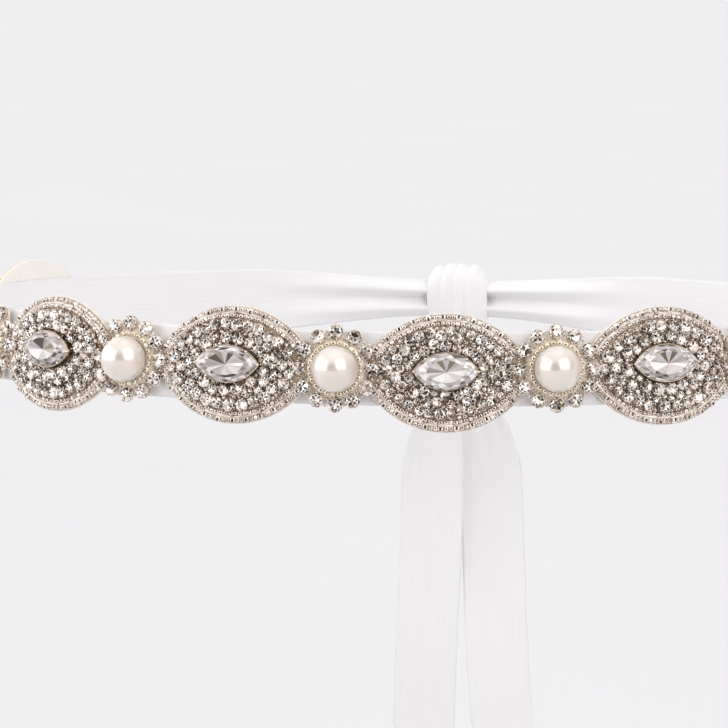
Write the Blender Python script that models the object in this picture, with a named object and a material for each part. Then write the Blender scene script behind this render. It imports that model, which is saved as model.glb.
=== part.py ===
"""Bridal sash: a satin ribbon tied round a waist, with a beaded applique sewn along its front.

Metres, +Z up, front facing -Y. The origin is the middle of the waist ring, at half the ribbon's height.
The ribbon is laid out in its own coordinates: s runs along the ring from the middle of the front,
positive towards +X; z runs up the ribbon's width; n is the height above the ribbon's outer face.
"""
import math

import bmesh
import bpy
import numpy as np
from mathutils import Vector

MM = 0.001

# The ring that the ribbon follows, measured on its outer face
RING_HALF_WIDTH = 125 * MM
RING_HALF_DEPTH = 88 * MM
FLARE = math.radians(6.5)

# The ribbon
RIBBON_WIDTH = 19.4 * MM
RIBBON_WALL = 1.0 * MM
SEAM = 0.3 * MM
SEAT = 0.3 * MM
RIBBON_STEP = 7.5 * MM

# The row of motifs: medallions and flowers take turns, one pitch apart
PITCH = 28.45 * MM
FLOWER_PLACES = (-6, -4, -2, 0, 2, 4, 6)
MEDALLION_PLACES = (-7, -5, -3, -1, 1, 3, 5, 7)

# The medallion's pointed oval
MEDALLION_HALF_LENGTH = 22.9 * MM
MEDALLION_HALF_HEIGHT = 15.6 * MM
MEDALLION_POINTS = 36
MEDALLION_SQUASH = 0.62
CUT_SHARE = 0.3
MEDALLION_STONE_RISE = 1.5 * MM

# The marquise crystal
CRYSTAL_HALF_LENGTH = 8.8 * MM
CRYSTAL_HALF_HEIGHT = 5.2 * MM
CRYSTAL_CLEARANCE = 0.5 * MM
CRYSTAL_POINTS = 16
CRYSTAL_SQUASH = 0.45

# The flower and its pearl
FLOWER_STONES = 12
FLOWER_REACH = 11.3 * MM
FLOWER_NOTCH = 10.5 * MM
FLOWER_STONE_RISE = 1.7 * MM
PEARL_RADIUS = 6.0 * MM
PEARL_CENTRE = 5.2 * MM
PEARL_FOOT = 1.5 * MM
PEARL_SIDES = 14
PEARL_RINGS = 6

STONE_TOP_SHARE = 0.66

# Where the front stretch ends, under the middle of a medallion
FRONT_REACH = 5 * PITCH

# The knot, and the folds that the ribbon gathers into on its way there
KNOT_HALF_WIDTH = 9.5 * MM
KNOT_HALF_HEIGHT = 11.5 * MM
KNOT_HALF_DEPTH = 6.0 * MM
KNOT_STAND = 3.6 * MM
KNOT_SIDES = 18
GATHER_LENGTH = 62 * MM
GATHER_NARROWING = 0.42
GATHER_FOLD = 1.5 * MM
GATHER_LIFT = 2.6 * MM
FOLD_ROWS = (-1.0, -0.5, 0.0, 0.5, 1.0)
FOLD_WAVE = (0.6, -1.0, 1.0, -1.0, 0.6)

# The two ends that hang from the knot, the right one outside the left one where they cross:
# how far each falls, leans aside, stands out at the knot, swings in and out, and turns
TAILS = (
    # name, side, length, lean, stand, swing, turn
    ("tail_left", -1, 198 * MM, 9 * MM, 1.6 * MM, 2.6 * MM, math.radians(12)),
    ("tail_right", 1, 214 * MM, 13 * MM, 5.0 * MM, 3.4 * MM, math.radians(9)),
)
TAIL_STEPS = 24
TAIL_ROOT_SHARE = 0.36
TAIL_OPENING = 46 * MM
TAIL_ROOT_OFFSET = 3.4 * MM
TAIL_OPEN_OFFSET = 8.4 * MM
TAIL_OUTWARD = 9 * MM
TAIL_SLANT = 8 * MM
TAIL_CUP = 1.2 * MM
TAIL_ROWS = (-1.0, 0.0, 1.0)

SATIN_WHITE = (0.86, 0.85, 0.86)
BEAD_SILVER = (0.72, 0.66, 0.58)
STONE_SILVER = (0.66, 0.63, 0.60)
CRYSTAL_CLEAR = (0.85, 0.85, 0.88)
PEARL_IVORY = (0.90, 0.86, 0.80)


def clear_scene():
    for thing in list(bpy.data.objects):
        bpy.data.objects.remove(thing, do_unlink=True)


# The ring and its coordinates

def measure_ring(steps=1440):
    """Angles round half the ring, from the middle of the front to the middle of the back, and
    the length of ribbon up to each."""
    angles = np.linspace(0.0, math.pi, steps + 1)
    across = RING_HALF_WIDTH * np.sin(angles)
    deep = -RING_HALF_DEPTH * np.cos(angles)
    runs = np.hypot(np.diff(across), np.diff(deep))
    return angles, np.concatenate(([0.0], np.cumsum(runs)))


RING_ANGLES, RING_RUNS = measure_ring()
HALF_RING = float(RING_RUNS[-1])


def frame_at(s):
    """The ring's point at s, with the ribbon's directions there: along, up and out."""
    angle = math.copysign(float(np.interp(abs(s), RING_RUNS, RING_ANGLES)), s)
    sine = math.sin(angle)
    cosine = math.cos(angle)
    point = Vector((RING_HALF_WIDTH * sine, -RING_HALF_DEPTH * cosine, 0.0))
    level = Vector((sine / RING_HALF_WIDTH, -cosine / RING_HALF_DEPTH, 0.0)).normalized()
    along = Vector((-level.y, level.x, 0.0))
    rise = Vector((0.0, 0.0, 1.0))
    out = level * math.cos(FLARE) + rise * math.sin(FLARE)
    up = rise * math.cos(FLARE) - level * math.sin(FLARE)
    return point, along, up, out


def place(s, z, n):
    """The world point at ribbon coordinates s, z and n."""
    point, _, up, out = frame_at(s)
    return point + up * z + out * n


def stand(s, x, z, n):
    """The world point of a rigid piece seated at s, which lies x along, z up and n out from there."""
    point, along, up, out = frame_at(s)
    return point + along * x + up * z + out * n


# Solids and materials

def finish_material(name, colour, roughness, metallic=0.0):
    material = bpy.data.materials.new(name)
    material.use_nodes = True
    shader = material.node_tree.nodes["Principled BSDF"]
    shader.inputs["Base Color"].default_value = (*colour, 1.0)
    shader.inputs["Roughness"].default_value = roughness
    shader.inputs["Metallic"].default_value = metallic
    return material


def make_solid(name, points, faces, material, sharp_angle=math.radians(35)):
    """One object from points in world space and the faces between them, turned outwards."""
    mesh = bpy.data.meshes.new(name)
    mesh.from_pydata([tuple(point) for point in points], [], faces)
    work = bmesh.new()
    work.from_mesh(mesh)
    bmesh.ops.recalc_face_normals(work, faces=work.faces)
    work.to_mesh(mesh)
    work.free()
    mesh.shade_smooth()
    mesh.set_sharp_from_angle(angle=sharp_angle)
    mesh.materials.append(material)
    solid = bpy.data.objects.new(name, mesh)
    bpy.context.scene.collection.objects.link(solid)
    return solid


def band_faces(first, second, count):
    """The four-sided faces between two closed rings of count points each."""
    faces = []
    for index in range(count):
        after = (index + 1) % count
        faces.append((first + index, first + after, second + after, second + index))
    return faces


def strip_faces(first, count):
    """Faces that fill a ring whose points mirror each other above and below, in strips across it."""
    faces = [(first, first + 1, first + count - 1)]
    for index in range(1, count // 2 - 1):
        faces.append((first + index, first + index + 1,
                      first + count - index - 1, first + count - index))
    middle = first + count // 2
    faces.append((middle - 1, middle, middle + 1))
    return faces


def make_loft(name, rings, material, sharp_angle=math.radians(35)):
    """A closed body through rings of points, with a flat cap on the first and the last."""
    count = len(rings[0])
    points = [point for ring in rings for point in ring]
    faces = [tuple(range(count)), tuple(range(len(points) - count, len(points)))]
    for index in range(len(rings) - 1):
        faces += band_faces(index * count, (index + 1) * count, count)
    return make_solid(name, points, faces, material, sharp_angle)


def make_wall(name, outer, inner, material):
    """A wall of cloth between two grids of points, each a list of columns."""
    columns = len(outer)
    rows = len(outer[0])
    offset = columns * rows
    points = [point for column in outer for point in column]
    points += [point for column in inner for point in column]
    faces = []
    for column in range(columns - 1):
        for row in range(rows - 1):
            corner = column * rows + row
            faces.append((corner, corner + rows, corner + rows + 1, corner + 1))
            faces.append((offset + corner, offset + corner + 1,
                          offset + corner + rows + 1, offset + corner + rows))
        for row in (0, rows - 1):
            corner = column * rows + row
            faces.append((corner, corner + rows, offset + corner + rows, offset + corner))
    for column in (0, columns - 1):
        for row in range(rows - 1):
            corner = column * rows + row
            faces.append((corner, corner + 1, offset + corner + 1, offset + corner))
    return make_solid(name, points, faces, material)


# The beaded plates

def lens_reach(angle, half_length, half_height, inset=0.0):
    """How far a pointed oval of two arcs reaches from its middle, inset from its edge."""
    radius = (half_length ** 2 + half_height ** 2) / (2 * half_height)
    sink = radius - half_height
    drop = sink * abs(math.sin(angle))
    return math.sqrt(drop ** 2 + (radius - inset) ** 2 - sink ** 2) - drop


def oval_angles(count, squash):
    """Directions round an oval, closer together at its ends as its points are."""
    angles = []
    for index in range(count):
        turn = 2 * math.pi * index / count
        angles.append(math.atan2(squash * math.sin(turn), math.cos(turn)))
    return angles


def medallion_reach(angle, inset, cut_left, cut_right):
    """The medallion's edge, cut back at each end where a flower sits on it."""
    reach = lens_reach(angle, MEDALLION_HALF_LENGTH, MEDALLION_HALF_HEIGHT, inset)
    is_cut = cut_right if math.cos(angle) > 0 else cut_left
    ahead = PITCH * abs(math.cos(angle))
    aside = PITCH * abs(math.sin(angle))
    hole = FLOWER_REACH + SEAM + CUT_SHARE * inset
    if is_cut and aside < hole:
        reach = min(reach, ahead - math.sqrt(hole ** 2 - aside ** 2))
    return reach


def add_stone(points, faces, loop, rise):
    """A stone raised over a six-sided cell: its top is the cell, drawn in and lifted."""
    count = len(loop)
    middle = [sum(points[index][axis] for index in loop) / count for axis in range(3)]
    first = len(points)
    for index in loop:
        across, height, _ = (middle[axis] + (points[index][axis] - middle[axis]) * STONE_TOP_SHARE
                             for axis in range(3))
        points.append((across, height, middle[2] + rise))
    for index in range(count):
        after = (index + 1) % count
        faces.append((loop[index], loop[after], first + after, first + index))
    faces.append(tuple(range(first, first + count)))


def make_plate(name, centre, rings, stone_starts, rise, material):
    """A beaded plate: rings of (along, up, out) points from its underside's edge in to its seat.

    stone_starts names the bands between rings that carry stones, with each band's first stone."""
    count = len(rings[0])
    points = [point for ring in rings for point in ring]
    faces = strip_faces(0, count) + strip_faces((len(rings) - 1) * count, count)
    for band in range(len(rings) - 1):
        outer = band * count
        inner = outer + count
        if band not in stone_starts:
            faces += band_faces(outer, inner, count)
            continue
        for start in range(stone_starts[band], stone_starts[band] + count, 2):
            steps = [(start + step) % count for step in (0, 1, 2)]
            loop = [outer + step for step in steps] + [inner + step for step in reversed(steps)]
            add_stone(points, faces, loop, rise)
    world = [place(centre + across, height, out) for across, height, out in points]
    return make_solid(name, world, faces, material)


# Rings of a medallion from its edge inwards: how far in, and how high
MEDALLION_RIM = (
    # inset, height
    (0.0 * MM, SEAT),
    (0.0 * MM, 1.3 * MM),
    (1.05 * MM, 2.3 * MM),
    (1.95 * MM, 1.7 * MM),
    (2.75 * MM, 2.2 * MM),
    (3.5 * MM, 1.8 * MM),
)
MEDALLION_SEAT_HEIGHT = 2.1 * MM


def make_medallion(name, place_number, material):
    angles = oval_angles(MEDALLION_POINTS, MEDALLION_SQUASH)
    cut_left = place_number > min(MEDALLION_PLACES)
    cut_right = place_number < max(MEDALLION_PLACES)
    reaches = []
    heights = []
    for inset, height in MEDALLION_RIM:
        reaches.append([medallion_reach(angle, inset, cut_left, cut_right) for angle in angles])
        heights.append(height)
    seat = [lens_reach(angle, CRYSTAL_HALF_LENGTH + CRYSTAL_CLEARANCE,
                       CRYSTAL_HALF_HEIGHT + CRYSTAL_CLEARANCE) for angle in angles]
    middle = [(edge + inner) / 2 for edge, inner in zip(reaches[-1], seat)]
    reaches += [middle, seat]
    heights += [(heights[-1] + MEDALLION_SEAT_HEIGHT) / 2, MEDALLION_SEAT_HEIGHT]
    rings = []
    for ring, height in zip(reaches, heights):
        rings.append([(reach * math.cos(angle), reach * math.sin(angle), height)
                      for reach, angle in zip(ring, angles)])
    outer_stones = len(MEDALLION_RIM) - 1
    stone_starts = {outer_stones: 0, outer_stones + 1: 1}
    return make_plate(name, place_number * PITCH, rings, stone_starts, MEDALLION_STONE_RISE, material)


# Rings of a flower from its edge inwards: at its stones, between them, and how high
FLOWER_RINGS = (
    # radius at a stone, radius between stones, height
    (FLOWER_REACH, FLOWER_NOTCH, SEAT),
    (FLOWER_REACH, FLOWER_NOTCH, 1.6 * MM),
    (7.4 * MM, 7.4 * MM, 1.6 * MM),
    (6.7 * MM, 6.7 * MM, 2.5 * MM),
    (6.0 * MM, 6.0 * MM, 1.2 * MM),
)
FLOWER_STONE_BAND = 1


def make_flower(name, place_number, material):
    count = 2 * FLOWER_STONES
    rings = []
    for at_stone, between, height in FLOWER_RINGS:
        ring = []
        for index in range(count):
            angle = 2 * math.pi * index / count
            radius = at_stone if index % 2 == 0 else between
            ring.append((radius * math.cos(angle), radius * math.sin(angle), height))
        rings.append(ring)
    return make_plate(name, place_number * PITCH, rings, {FLOWER_STONE_BAND: 1},
                      FLOWER_STONE_RISE, material)


# Rings of a crystal from its seat up: how much of the outline, and how high
CRYSTAL_RINGS = (
    # share of the outline, height
    (0.60, 2.5 * MM),
    (1.00, 4.3 * MM),
    (1.00, 4.7 * MM),
    (0.62, 6.2 * MM),
)


def make_crystal(name, place_number, material):
    angles = oval_angles(CRYSTAL_POINTS, CRYSTAL_SQUASH)
    rings = []
    for share, height in CRYSTAL_RINGS:
        ring = []
        for angle in angles:
            reach = share * lens_reach(angle, CRYSTAL_HALF_LENGTH, CRYSTAL_HALF_HEIGHT)
            ring.append(stand(place_number * PITCH, reach * math.cos(angle),
                              reach * math.sin(angle), height))
        rings.append(ring)
    return make_loft(name, rings, material, sharp_angle=math.radians(5))


def make_pearl(name, place_number, material):
    """A round pearl with a small flat foot, cut where it stands in the flower."""
    foot = math.asin((PEARL_FOOT - PEARL_CENTRE) / PEARL_RADIUS)
    crown = math.radians(78)
    rings = []
    for index in range(PEARL_RINGS):
        lift = foot + (crown - foot) * index / (PEARL_RINGS - 1)
        radius = PEARL_RADIUS * math.cos(lift)
        height = PEARL_CENTRE + PEARL_RADIUS * math.sin(lift)
        ring = []
        for side in range(PEARL_SIDES):
            angle = 2 * math.pi * side / PEARL_SIDES
            ring.append(stand(place_number * PITCH, radius * math.cos(angle),
                              radius * math.sin(angle), height))
        rings.append(ring)
    return make_loft(name, rings, material, sharp_angle=math.radians(60))


# The ribbon

def even_steps(start, end, step):
    """Places from start to end in equal steps of about the given size."""
    count = max(1, round(abs(end - start) / step))
    return [start + (end - start) * index / count for index in range(count + 1)]


def make_front(material):
    outer = []
    inner = []
    for s in even_steps(-FRONT_REACH, FRONT_REACH, RIBBON_STEP):
        outer.append([place(s, side * RIBBON_WIDTH / 2, 0.0) for side in (-1, 1)])
        inner.append([place(s, side * RIBBON_WIDTH / 2, -RIBBON_WALL) for side in (-1, 1)])
    return make_wall("ribbon_front", outer, inner, material)


def make_side(name, side, material):
    """A side stretch, flat where it leaves the front and gathered into folds at the knot."""
    start = FRONT_REACH + SEAM
    end = HALF_RING - KNOT_HALF_WIDTH - SEAM
    outer = []
    inner = []
    for s in even_steps(start, end, RIBBON_STEP):
        share = max(0.0, 1 - (end - s) / GATHER_LENGTH)
        gather = share ** 2 * (3 - 2 * share)
        half = RIBBON_WIDTH / 2 * (1 - GATHER_NARROWING * gather)
        lifts = [gather * (GATHER_LIFT + GATHER_FOLD * wave) for wave in FOLD_WAVE]
        outer.append([place(side * s, half * row, lift) for row, lift in zip(FOLD_ROWS, lifts)])
        inner.append([place(side * s, half * row, lift - RIBBON_WALL)
                      for row, lift in zip(FOLD_ROWS, lifts)])
    return make_wall(name, outer, inner, material)


# Sections of the knot from one end to the other: place along it, and share of its height and depth
KNOT_SECTIONS = (
    # along, height share, depth share
    (-1.00, 0.56, 0.50),
    (-0.84, 0.86, 0.74),
    (-0.50, 0.98, 0.95),
    (0.00, 1.00, 1.00),
    (0.50, 0.98, 0.95),
    (0.84, 0.86, 0.74),
    (1.00, 0.56, 0.50),
)
KNOT_FOLDS = 3
KNOT_FOLD_DEPTH = 0.09
KNOT_SQUARENESS = 0.7


def squared(value):
    """A sine or cosine filled out, so that a ring of them is a rounded square."""
    return math.copysign(abs(value) ** KNOT_SQUARENESS, value)


def make_knot(material):
    """The knot: a flat bundle across the middle of the back, with folds over its face."""
    point, along, up, out = frame_at(HALF_RING)
    rings = []
    for along_share, height_share, depth_share in KNOT_SECTIONS:
        ring = []
        for side in range(KNOT_SIDES):
            angle = 2 * math.pi * side / KNOT_SIDES
            fold = 1 - KNOT_FOLD_DEPTH * math.cos(KNOT_FOLDS * angle) ** 2
            height = KNOT_HALF_HEIGHT * height_share * fold * squared(math.sin(angle))
            depth = KNOT_HALF_DEPTH * depth_share * fold * squared(math.cos(angle))
            ring.append(point + along * (KNOT_HALF_WIDTH * along_share) + up * height
                        + out * (KNOT_STAND + depth))
        rings.append(ring)
    return make_loft("knot", rings, material)


def make_tail(name, side, length, lean, stand_off, swing, turn, material):
    """A hanging end: gathered under the knot, then opening to the ribbon's width on its way down."""
    point, _, up, out = frame_at(HALF_RING)
    start = point - up * (KNOT_HALF_HEIGHT + SEAM) + out * stand_off
    outer = []
    inner = []
    for step in range(TAIL_STEPS + 1):
        share = step / TAIL_STEPS
        fall = length * share
        opening = min(1.0, fall / TAIL_OPENING)
        opening = opening ** 2 * (3 - 2 * opening)
        half = RIBBON_WIDTH / 2 * (TAIL_ROOT_SHARE + (1 - TAIL_ROOT_SHARE) * opening)
        shift = TAIL_ROOT_OFFSET + (TAIL_OPEN_OFFSET - TAIL_ROOT_OFFSET) * opening
        across = side * (shift + lean * share ** 2)
        depth = TAIL_OUTWARD * share + swing * math.sin(2 * math.pi * share) ** 2
        facing = turn * math.sin(math.pi * share)
        width_way = Vector((math.cos(facing), math.sin(facing), 0.0))
        face_way = Vector((-math.sin(facing), math.cos(facing), 0.0))
        middle = start + Vector((across, depth, -fall))
        front = []
        back = []
        for row in TAIL_ROWS:
            slant = TAIL_SLANT * share ** 8 * row * side
            cup = TAIL_CUP * (1 - row ** 2)
            point_on = middle + width_way * (half * row) + face_way * cup - Vector((0, 0, slant))
            front.append(point_on + face_way * (RIBBON_WALL / 2))
            back.append(point_on - face_way * (RIBBON_WALL / 2))
        outer.append(front)
        inner.append(back)
    return make_wall(name, outer, inner, material)


def build():
    clear_scene()
    satin = finish_material("satin", SATIN_WHITE, 0.35)
    beads = finish_material("beadwork", BEAD_SILVER, 0.3, 0.5)
    stones = finish_material("rhinestone", STONE_SILVER, 0.15, 0.6)
    crystal = finish_material("crystal", CRYSTAL_CLEAR, 0.05)
    pearl = finish_material("pearl", PEARL_IVORY, 0.2)
    make_front(satin)
    make_side("ribbon_left", -1, satin)
    make_side("ribbon_right", 1, satin)
    make_knot(satin)
    for tail in TAILS:
        make_tail(*tail, satin)
    for number, place_number in enumerate(MEDALLION_PLACES, start=1):
        make_medallion(f"medallion_{number}", place_number, beads)
        make_crystal(f"crystal_{number}", place_number, crystal)
    for number, place_number in enumerate(FLOWER_PLACES, start=1):
        make_flower(f"flower_{number}", place_number, stones)
        make_pearl(f"pearl_{number}", place_number, pearl)


build()
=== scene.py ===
"""Bridal sash, dressed: a white satin ribbon tied round a waist, with a beaded applique along its front.

Metres, in the frame of the solids: +Z up, front facing -Y, origin in the middle of the waist ring.
Ribbon coordinates: s runs along the ring from the middle of the front, z up the ribbon's width and
n out from its outer face. Small pieces are copies of a few shapes, gathered into joined meshes.
"""
import math

import bpy
import numpy as np
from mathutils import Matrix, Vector


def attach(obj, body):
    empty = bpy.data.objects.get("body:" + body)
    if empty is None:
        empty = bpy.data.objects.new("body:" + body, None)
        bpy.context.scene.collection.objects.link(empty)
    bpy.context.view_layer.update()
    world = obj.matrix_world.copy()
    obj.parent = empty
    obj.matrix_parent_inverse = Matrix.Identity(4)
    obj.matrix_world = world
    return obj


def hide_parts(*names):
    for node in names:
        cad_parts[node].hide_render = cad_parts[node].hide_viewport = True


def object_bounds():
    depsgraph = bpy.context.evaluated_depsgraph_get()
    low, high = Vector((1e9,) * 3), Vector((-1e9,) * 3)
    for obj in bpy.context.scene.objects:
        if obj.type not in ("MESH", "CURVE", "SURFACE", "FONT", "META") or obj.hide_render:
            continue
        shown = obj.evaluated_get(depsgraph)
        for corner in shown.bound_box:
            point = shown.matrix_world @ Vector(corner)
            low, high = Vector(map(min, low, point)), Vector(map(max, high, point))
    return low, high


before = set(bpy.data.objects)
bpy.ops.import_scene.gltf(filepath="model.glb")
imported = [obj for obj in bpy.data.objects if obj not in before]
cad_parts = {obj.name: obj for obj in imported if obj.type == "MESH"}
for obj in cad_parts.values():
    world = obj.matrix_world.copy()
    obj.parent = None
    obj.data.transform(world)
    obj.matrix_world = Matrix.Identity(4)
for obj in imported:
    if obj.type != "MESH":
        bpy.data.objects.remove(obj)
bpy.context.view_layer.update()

MM = 0.001

# Sizes shared with the solids
RING_HALF_WIDTH = 125 * MM
RING_HALF_DEPTH = 88 * MM
FLARE = math.radians(6.5)
RIBBON_WIDTH = 19.4 * MM
PITCH = 28.45 * MM
FLOWER_PLACES = (-6, -4, -2, 0, 2, 4, 6)
MEDALLION_PLACES = (-7, -5, -3, -1, 1, 3, 5, 7)
OVAL_HALF_LENGTH = 22.9 * MM
OVAL_HALF_HEIGHT = 15.6 * MM
OVAL_SQUASH = 0.62
CUT_SHARE = 0.3
CRYSTAL_HALF_LENGTH = 8.8 * MM
CRYSTAL_HALF_HEIGHT = 5.2 * MM
CRYSTAL_CLEARANCE = 0.1 * MM
FLOWER_REACH = 11.3 * MM
FLOWER_NOTCH = 10.5 * MM
FLOWER_STONES = 12
PEARL_RADIUS = 6.0 * MM
PEARL_CENTRE = 5.2 * MM
PEARL_FOOT = 1.5 * MM
SEAM = 0.3 * MM
NET_TUCK = 2.6 * MM

# How far each motif and its middle stone lie off their even places, as sewn by hand
SEWN_OFF = {
    # place: motif along, motif up, middle stone along, middle stone up
    -3: (0.4 * MM, -0.6 * MM, -0.6 * MM, 0.5 * MM),
    -2: (-1.8 * MM, -0.1 * MM, -1.7 * MM, -0.3 * MM),
    -1: (0.4 * MM, -0.1 * MM, -0.4 * MM, 0.1 * MM),
    0: (-0.2 * MM, -0.3 * MM, 0.2 * MM, -0.4 * MM),
    1: (0.0 * MM, -1.0 * MM, 0.0 * MM, -0.6 * MM),
    2: (-0.1 * MM, 0.0 * MM, -0.3 * MM, -0.1 * MM),
    3: (0.6 * MM, 0.0 * MM, 0.1 * MM, 0.7 * MM),
}

# The photograph's viewpoint, from the fall and foreshortening of the row of motifs
CAMERA_AZIMUTH = math.radians(11.5)
CAMERA_ELEVATION = math.radians(6.8)
CAMERA_DISTANCE = 1.0
CAMERA_LENS = 189.6
AIM_ASIDE = 6.8 * MM
AIM_ABOVE = 0.95 * MM

rng = np.random.default_rng(11)


# The ring and its coordinates

def measure_ring(steps=2880):
    angles = np.linspace(0.0, math.pi, steps + 1)
    across = RING_HALF_WIDTH * np.sin(angles)
    deep = -RING_HALF_DEPTH * np.cos(angles)
    runs = np.hypot(np.diff(across), np.diff(deep))
    return angles, np.concatenate(([0.0], np.cumsum(runs)))


RING_ANGLES, RING_RUNS = measure_ring()
HALF_RING = float(RING_RUNS[-1])


def frames_at(s):
    """The ring's points at s, and the directions along, up and out there."""
    s = np.atleast_1d(np.asarray(s, float))
    angles = np.sign(s) * np.interp(np.abs(s), RING_RUNS, RING_ANGLES)
    sine, cosine, level_z = np.sin(angles), np.cos(angles), np.zeros_like(s)
    points = np.stack([RING_HALF_WIDTH * sine, -RING_HALF_DEPTH * cosine, level_z], axis=1)
    level = np.stack([sine / RING_HALF_WIDTH, -cosine / RING_HALF_DEPTH, level_z], axis=1)
    level /= np.linalg.norm(level, axis=1, keepdims=True)
    along = np.stack([-level[:, 1], level[:, 0], level_z], axis=1)
    rise = np.array([0.0, 0.0, 1.0])
    out = level * math.cos(FLARE) + rise * math.sin(FLARE)
    up = rise * math.cos(FLARE) - level * math.sin(FLARE)
    return points, along, up, out


def place(s, z, n):
    """World points at ribbon coordinates: what is sewn flat follows the ring's curve."""
    s, z, n = np.broadcast_arrays(np.asarray(s, float), z, n)
    points, _, up, out = frames_at(s.ravel())
    return points + up * z.reshape(-1, 1) + out * n.reshape(-1, 1)


def axes_at(s, turn=0.0, tilt_along=0.0, tilt_up=0.0):
    """Directions for pieces at s: along, up and out, turned in the face and tilted a little."""
    _, along, up, out = frames_at(s)
    turn, lean, nod = (np.broadcast_to(np.asarray(v, float), len(along))[:, None]
                       for v in (turn, tilt_along, tilt_up))
    out = out + along * lean + up * nod
    out /= np.linalg.norm(out, axis=1, keepdims=True)
    first = along * np.cos(turn) + up * np.sin(turn)
    first -= out * np.sum(first * out, axis=1, keepdims=True)
    first /= np.linalg.norm(first, axis=1, keepdims=True)
    return np.stack([first, np.cross(out, first), out], axis=1)


# Meshes

class Shape:
    """A small closed mesh to be copied: points, the corners of its faces in turn, and their counts."""

    def __init__(self, points, faces):
        self.points = np.array(points, float)
        self.loops = np.array([corner for face in faces for corner in face])
        self.sizes = np.array([len(face) for face in faces])


class Pile:
    """Copies of shapes gathered into one mesh, each face with a tone from 0 to 1."""

    def __init__(self):
        self.points, self.loops, self.sizes, self.tones = [], [], [], []
        self.count = 0

    def add(self, shape, centres, axes, scale=1.0, tones=0.5):
        """Adds one copy for each centre. axes are three directions for each, and scale one or three sizes."""
        centres = np.atleast_2d(centres)
        number = len(centres)
        scale = np.asarray(scale, float)
        if scale.ndim < 2:
            scale = np.broadcast_to(scale.reshape(-1, 1) if scale.size == number else scale, (number, 3))
        local = shape.points[None] * scale[:, None, :]
        self.points.append((centres[:, None] + np.einsum("nkj,njw->nkw", local, axes)).reshape(-1, 3))
        starts = self.count + np.arange(number) * len(shape.points)
        self.loops.append((shape.loops[None] + starts[:, None]).ravel())
        self.sizes.append(np.tile(shape.sizes, number))
        tones = np.asarray(tones, float)
        if tones.ndim == 1:
            tones = tones[:, None]
        self.tones.append(np.broadcast_to(tones, (number, len(shape.sizes))).ravel())
        self.count += number * len(shape.points)

    def build(self, name, material, smooth=True):
        return build_mesh(name, np.concatenate(self.points), np.concatenate(self.loops),
                          np.concatenate(self.sizes), material, smooth, np.concatenate(self.tones))


def build_mesh(name, points, loops, sizes, material, smooth=True, tones=None, cloth=None):
    mesh = bpy.data.meshes.new(name)
    mesh.vertices.add(len(points))
    mesh.vertices.foreach_set("co", np.asarray(points, np.float32).ravel())
    mesh.loops.add(len(loops))
    mesh.loops.foreach_set("vertex_index", np.asarray(loops, np.int32))
    mesh.polygons.add(len(sizes))
    starts = np.concatenate(([0], np.cumsum(sizes)[:-1])).astype(np.int32)
    mesh.polygons.foreach_set("loop_start", starts)
    mesh.polygons.foreach_set("use_smooth", np.full(len(sizes), smooth))
    if tones is not None:
        layer = mesh.attributes.new("tone", "FLOAT", "FACE")
        layer.data.foreach_set("value", np.asarray(tones, np.float32))
    if cloth is not None:
        layer = mesh.attributes.new("cloth", "FLOAT_VECTOR", "POINT")
        layer.data.foreach_set("vector", np.asarray(cloth, np.float32).ravel())
    mesh.update(calc_edges=True)
    mesh.validate()
    mesh.materials.append(material)
    piece = bpy.data.objects.new(name, mesh)
    bpy.context.scene.collection.objects.link(piece)
    return piece


def seat(piece, slot, *nodes):
    """Fixes a piece to the sash and hides the solids that it stands for; slot is not used."""
    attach(piece, "root")
    if nodes:
        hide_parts(*nodes)
    return piece


def grid_faces(rows, columns, first=0, closed=False):
    """Four-sided faces over a grid of points stored row by row, closed round each row if asked."""
    faces = []
    for row in range(rows - 1):
        for column in range(columns if closed else columns - 1):
            after = (column + 1) % columns
            corner = first + row * columns
            faces.append((corner + column, corner + after,
                          corner + columns + after, corner + columns + column))
    return faces


def turned(profile, sides, twist=0.0):
    """A turned shape from (radius, height) pairs, bottom to top; its ends are closed to a point."""
    points = []
    for ring, (radius, height) in enumerate(profile):
        for side in range(sides):
            angle = 2 * math.pi * (side + twist * ring) / sides
            points.append((radius * math.cos(angle), radius * math.sin(angle), height))
    faces = grid_faces(len(profile), sides, closed=True)
    faces += [((side + 1) % sides, side, len(points)) for side in range(sides)]
    last = (len(profile) - 1) * sides
    faces += [(last + side, last + (side + 1) % sides, len(points) + 1) for side in range(sides)]
    points += [(0, 0, profile[0][1]), (0, 0, profile[-1][1])]
    return Shape(points, faces)


def ball(sides, rings):
    """A round shape of radius 1."""
    lifts = [math.pi * (ring + 0.5) / rings - math.pi / 2 for ring in range(rings)]
    return turned([(math.cos(lift), math.sin(lift)) for lift in lifts], sides)


# A seed bead lies with its hole along the row, so its turning axis is its first direction
def on_side(shape):
    shape.points = shape.points[:, [2, 0, 1]]
    return shape


BEAD_SIDES = 10
BEAD_PROFILE = ((0.28, -0.86), (0.60, -0.94), (0.88, -0.70), (1.00, -0.38),
                (1.00, 0.38), (0.88, 0.70), (0.60, 0.94), (0.28, 0.86))
SEED_BEAD = on_side(turned(BEAD_PROFILE, BEAD_SIDES))
# The face that carries a bead's dark dot: partly its hole seen through the glass, partly a painted reflection
# of the dark room ahead
BEAD_DOT_FACE = (len(BEAD_PROFILE) // 2 - 1) * BEAD_SIDES + BEAD_SIDES // 4
BUGLE = on_side(turned([(0.60, -1.0), (0.95, -0.99), (1.0, -0.96), (1.0, 0.96),
                        (0.95, 0.99), (0.60, 1.0)], 8))
GRAIN = ball(6, 4)
STITCH = ball(6, 4)


# A round stone: crown facets in two rows, a table, and the star that shows through it
STONE_SIDES = 8
# Facet tones are painted reflections with painted light through one side: their mean, and how strongly and in
# what share of stones that side is lit
FACET_MEAN = 0.515
STRONG_LEAN = 0.35
STRONG_SHARE = 0.3
STONE_ROWS = (
    # radius, height
    (0.55, -0.45),
    (1.00, -0.02),
    (0.84, 0.27),
    (0.55, 0.43),
)


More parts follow.
